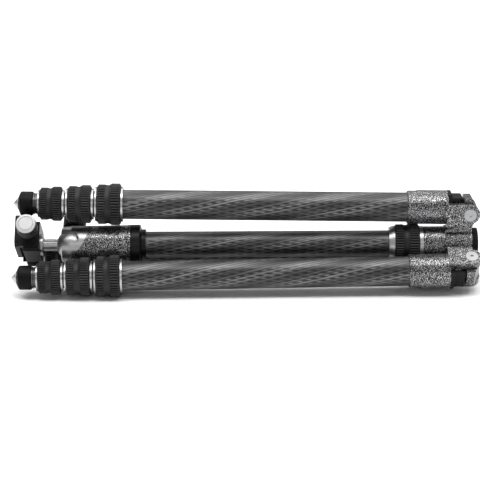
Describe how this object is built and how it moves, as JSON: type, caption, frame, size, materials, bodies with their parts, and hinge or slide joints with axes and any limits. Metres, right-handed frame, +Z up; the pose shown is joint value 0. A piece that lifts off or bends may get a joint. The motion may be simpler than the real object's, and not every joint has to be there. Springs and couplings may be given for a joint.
{
  "type": "travel tripod",
  "caption": "Folding travel tripod with a ball head: telescopic carbon legs with twist locks, folded back over a raised centre column.",
  "frame": {"origin": "below the middle of the folded tripod's box, on the surface that it lies on", "axes": "+X along the centre column from the head to the spider, +Z up"},
  "size_m": [0.4424, 0.1096, 0.1003],
  "materials": {
    "carbon": "glossy carbon fibre weave",
    "cast_paint": "grey and black speckled paint",
    "rubber": "matt black ribbed rubber",
    "bright_metal": "bright turned aluminium",
    "black_metal": "black anodised",
    "black_plastic": "moulded black"
  },
  "bodies": {
    "spider": {"spider": "cast_paint", "hinge_pins": "bright_metal", "column_bushing": "black_plastic", "column_lock_collar": "bright_metal"},
    "column_lock": {"column_lock_grip": "rubber"},
    "column": {"column_tube": "carbon", "column_end_cap": "rubber", "column_top_flange": "black_metal"},
    "head": {"head_base": "black_metal", "head_body": "cast_paint", "ball_cup": "bright_metal"},
    "ball_lock": {"ball_lock_knob": "rubber"},
    "ball": {"ball_stem": "bright_metal"},
    "clamp": {"clamp_body": "black_metal"},
    "jaw": {"clamp_jaw": "black_metal"},
    "knob": {"clamp_knob": "bright_metal"},
    "plate": {"quick_plate": "black_metal"},
    "screw": {"camera_screw": "bright_metal"},
    "leg_a": {"leg_a_casting": "cast_paint", "leg_a_tube_1": "carbon", "leg_a_upper_collar": "bright_metal"},
    "leg_a_upper_lock": {"leg_a_upper_grip": "rubber"},
    "leg_a_section_2": {"leg_a_tube_2": "carbon", "leg_a_middle_collar": "bright_metal"},
    "leg_a_middle_lock": {"leg_a_middle_grip": "rubber"},
    "leg_a_section_3": {"leg_a_tube_3": "carbon", "leg_a_lower_collar": "bright_metal"},
    "leg_a_lower_lock": {"leg_a_lower_grip": "rubber"},
    "leg_a_section_4": {"leg_a_tube_4": "carbon", "leg_a_foot_rubber": "rubber", "leg_a_foot_tip": "bright_metal"},
    "leg_a_stop": {"leg_a_selector": "black_plastic"},
    "leg_b": {"leg_b_casting": "cast_paint", "leg_b_tube_1": "carbon", "leg_b_upper_collar": "bright_metal"},
    "leg_b_upper_lock": {"leg_b_upper_grip": "rubber"},
    "leg_b_section_2": {"leg_b_tube_2": "carbon", "leg_b_middle_collar": "bright_metal"},
    "leg_b_middle_lock": {"leg_b_middle_grip": "rubber"},
    "leg_b_section_3": {"leg_b_tube_3": "carbon", "leg_b_lower_collar": "bright_metal"},
    "leg_b_lower_lock": {"leg_b_lower_grip": "rubber"},
    "leg_b_section_4": {"leg_b_tube_4": "carbon", "leg_b_foot_rubber": "rubber", "leg_b_foot_tip": "bright_metal"},
    "leg_b_stop": {"leg_b_selector": "black_plastic"},
    "leg_c": {"leg_c_casting": "cast_paint", "leg_c_tube_1": "carbon", "leg_c_upper_collar": "bright_metal"},
    "leg_c_upper_lock": {"leg_c_upper_grip": "rubber"},
    "leg_c_section_2": {"leg_c_tube_2": "carbon", "leg_c_middle_collar": "bright_metal"},
    "leg_c_middle_lock": {"leg_c_middle_grip": "rubber"},
    "leg_c_section_3": {"leg_c_tube_3": "carbon", "leg_c_lower_collar": "bright_metal"},
    "leg_c_lower_lock": {"leg_c_lower_grip": "rubber"},
    "leg_c_section_4": {"leg_c_tube_4": "carbon", "leg_c_foot_rubber": "rubber", "leg_c_foot_tip": "bright_metal"},
    "leg_c_stop": {"leg_c_selector": "black_plastic"}
  },
  "joints": [
    {"name": "column_slide", "type": "slide", "parent": "spider", "child": "column", "axis": [1, 0, 0], "range_m": [0, 0.012]},
    {"name": "column_lock_turn", "type": "hinge", "parent": "spider", "child": "column_lock", "pos_m": [0.2122, 0, 0.04007], "axis": [1, 0, 0], "range_deg": [0, 120]},
    {"name": "head_pan", "type": "hinge", "parent": "column", "child": "head", "pos_m": [0.2122, 0, 0.04007], "axis": [-1, 0, 0], "range_deg": [-6, 6]},
    {"name": "ball_lock_turn", "type": "hinge", "parent": "head", "child": "ball_lock", "pos_m": [-0.1657, 0, 0.04007], "axis": [0, 0.866, 0.5], "range_deg": [0, 330]},
    {"name": "ball_tilt", "type": "hinge", "parent": "head", "child": "ball", "pos_m": [-0.1657, 0, 0.04007], "axis": [0, -0.6157, -0.788], "range_deg": [0, 10]},
    {"name": "clamp_spin", "type": "hinge", "parent": "ball", "child": "clamp", "pos_m": [-0.1657, 0, 0.04007], "axis": [-1, 0, 0], "range_deg": [-8, 8]},
    {"name": "clamp_knob_turn", "type": "hinge", "parent": "clamp", "child": "knob", "pos_m": [-0.2056, 0.00265, 0.04346], "axis": [0, -0.788, 0.6157], "range_deg": [0, 360]},
    {"name": "jaw_slide", "type": "slide", "parent": "clamp", "child": "jaw", "axis": [0, -0.788, 0.6157], "range_m": [0, 0.0015]},
    {"name": "plate_slide", "type": "slide", "parent": "clamp", "child": "plate", "axis": [0, -0.6157, -0.788], "range_m": [0, 0.012]},
    {"name": "camera_screw_turn", "type": "hinge", "parent": "plate", "child": "screw", "pos_m": [-0.2149, 0.00554, 0.04717], "axis": [-1, 0, 0], "continuous": true},
    {"name": "leg_a_fold", "type": "hinge", "parent": "spider", "child": "leg_a", "pos_m": [0.2122, 0, 0.07187], "axis": [0, 1, 0], "range_deg": [0, 155]},
    {"name": "leg_a_upper_lock_turn", "type": "hinge", "parent": "leg_a", "child": "leg_a_upper_lock", "pos_m": [0.21225, 0, 0.07507], "axis": [-0.9999, 0, 0.0157], "range_deg": [0, 90]},
    {"name": "leg_a_section_2_slide", "type": "slide", "parent": "leg_a", "child": "leg_a_section_2", "axis": [-0.9999, 0, 0.0157], "range_m": [0, 0.017]},
    {"name": "leg_a_middle_lock_turn", "type": "hinge", "parent": "leg_a_section_2", "child": "leg_a_middle_lock", "pos_m": [0.21225, 0, 0.07507], "axis": [-0.9999, 0, 0.0157], "range_deg": [0, 90]},
    {"name": "leg_a_section_3_slide", "type": "slide", "parent": "leg_a_section_2", "child": "leg_a_section_3", "axis": [-0.9999, 0, 0.0157], "range_m": [0, 0.017]},
    {"name": "leg_a_lower_lock_turn", "type": "hinge", "parent": "leg_a_section_3", "child": "leg_a_lower_lock", "pos_m": [0.21225, 0, 0.07507], "axis": [-0.9999, 0, 0.0157], "range_deg": [0, 90]},
    {"name": "leg_a_section_4_slide", "type": "slide", "parent": "leg_a_section_3", "child": "leg_a_section_4", "axis": [-0.9999, 0, 0.0157], "range_m": [0, 0.255]},
    {"name": "leg_a_stop_pull", "type": "slide", "parent": "leg_a", "child": "leg_a_stop", "axis": [0.0157, 0, 0.9999], "range_m": [0, 0.003], "stiffness_N_per_m": 300, "springref_m": -0.002},
    {"name": "leg_b_fold", "type": "hinge", "parent": "spider", "child": "leg_b", "pos_m": [0.2122, -0.02754, 0.02417], "axis": [0, -0.5, 0.866], "range_deg": [0, 155]},
    {"name": "leg_b_upper_lock_turn", "type": "hinge", "parent": "leg_b", "child": "leg_b_upper_lock", "pos_m": [0.21225, -0.03031, 0.02257], "axis": [-0.9999, -0.0136, -0.0079], "range_deg": [0, 90]},
    {"name": "leg_b_section_2_slide", "type": "slide", "parent": "leg_b", "child": "leg_b_section_2", "axis": [-0.9999, -0.0136, -0.0079], "range_m": [0, 0.255]},
    {"name": "leg_b_middle_lock_turn", "type": "hinge", "parent": "leg_b_section_2", "child": "leg_b_middle_lock", "pos_m": [0.21225, -0.03031, 0.02257], "axis": [-0.9999, -0.0136, -0.0079], "range_deg": [0, 90]},
    {"name": "leg_b_section_3_slide", "type": "slide", "parent": "leg_b_section_2", "child": "leg_b_section_3", "axis": [-0.9999, -0.0136, -0.0079], "range_m": [0, 0.255]},
    {"name": "leg_b_lower_lock_turn", "type": "hinge", "parent": "leg_b_section_3", "child": "leg_b_lower_lock", "pos_m": [0.21225, -0.03031, 0.02257], "axis": [-0.9999, -0.0136, -0.0079], "range_deg": [0, 90]},
    {"name": "leg_b_section_4_slide", "type": "slide", "parent": "leg_b_section_3", "child": "leg_b_section_4", "axis": [-0.9999, -0.0136, -0.0079], "range_m": [0, 0.255]},
    {"name": "leg_b_stop_pull", "type": "slide", "parent": "leg_b", "child": "leg_b_stop", "axis": [0.0157, -0.8659, -0.4999], "range_m": [0, 0.003], "stiffness_N_per_m": 300, "springref_m": -0.002},
    {"name": "leg_c_fold", "type": "hinge", "parent": "spider", "child": "leg_c", "pos_m": [0.2122, 0.02754, 0.02417], "axis": [0, -0.5, -0.866], "range_deg": [0, 155]},
    {"name": "leg_c_upper_lock_turn", "type": "hinge", "parent": "leg_c", "child": "leg_c_upper_lock", "pos_m": [0.21225, 0.03031, 0.02257], "axis": [-0.9999, 0.0136, -0.0079], "range_deg": [0, 90]},
    {"name": "leg_c_section_2_slide", "type": "slide", "parent": "leg_c", "child": "leg_c_section_2", "axis": [-0.9999, 0.0136, -0.0079], "range_m": [0, 0.255]},
    {"name": "leg_c_middle_lock_turn", "type": "hinge", "parent": "leg_c_section_2", "child": "leg_c_middle_lock", "pos_m": [0.21225, 0.03031, 0.02257], "axis": [-0.9999, 0.0136, -0.0079], "range_deg": [0, 90]},
    {"name": "leg_c_section_3_slide", "type": "slide", "parent": "leg_c_section_2", "child": "leg_c_section_3", "axis": [-0.9999, 0.0136, -0.0079], "range_m": [0, 0.255]},
    {"name": "leg_c_lower_lock_turn", "type": "hinge", "parent": "leg_c_section_3", "child": "leg_c_lower_lock", "pos_m": [0.21225, 0.03031, 0.02257], "axis": [-0.9999, 0.0136, -0.0079], "range_deg": [0, 90]},
    {"name": "leg_c_section_4_slide", "type": "slide", "parent": "leg_c_section_3", "child": "leg_c_section_4", "axis": [-0.9999, 0.0136, -0.0079], "range_m": [0, 0.255]},
    {"name": "leg_c_stop_pull", "type": "slide", "parent": "leg_c", "child": "leg_c_stop", "axis": [0.0157, 0.8659, -0.4999], "range_m": [0, 0.003], "stiffness_N_per_m": 300, "springref_m": -0.002}
  ],
  "couplings": [
    {"joint": "clamp_knob_turn", "follows": "jaw_slide", "rad_per_m": 4188.8}
  ]
}
